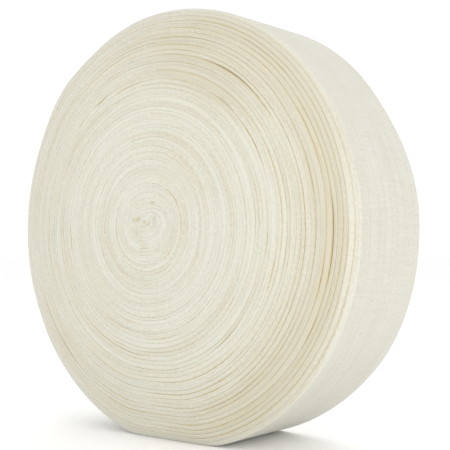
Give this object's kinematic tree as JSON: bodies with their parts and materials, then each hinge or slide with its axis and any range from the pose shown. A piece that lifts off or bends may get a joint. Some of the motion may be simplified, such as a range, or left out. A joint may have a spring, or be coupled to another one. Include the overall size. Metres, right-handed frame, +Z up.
{
  "type": "stockinette roll",
  "caption": "Coreless roll of flat-pressed tubular cotton stockinette standing on its rim, with a domed wound face and a small flat spot to rest on",
  "frame": {"origin": "on the resting surface, under the middle of the roll's box", "axes": "+Z up; the roll's axis runs along Y, its domed face looks along -Y and its dished face along +Y"},
  "size_m": [0.259, 0.0872, 0.2572],
  "materials": {
    "cotton_jersey": "matt cream-white cotton single jersey with fine courses and wales"
  },
  "bodies": {
    "root": {"stockinette_roll": "cotton_jersey"}
  },
  "joints": []
}
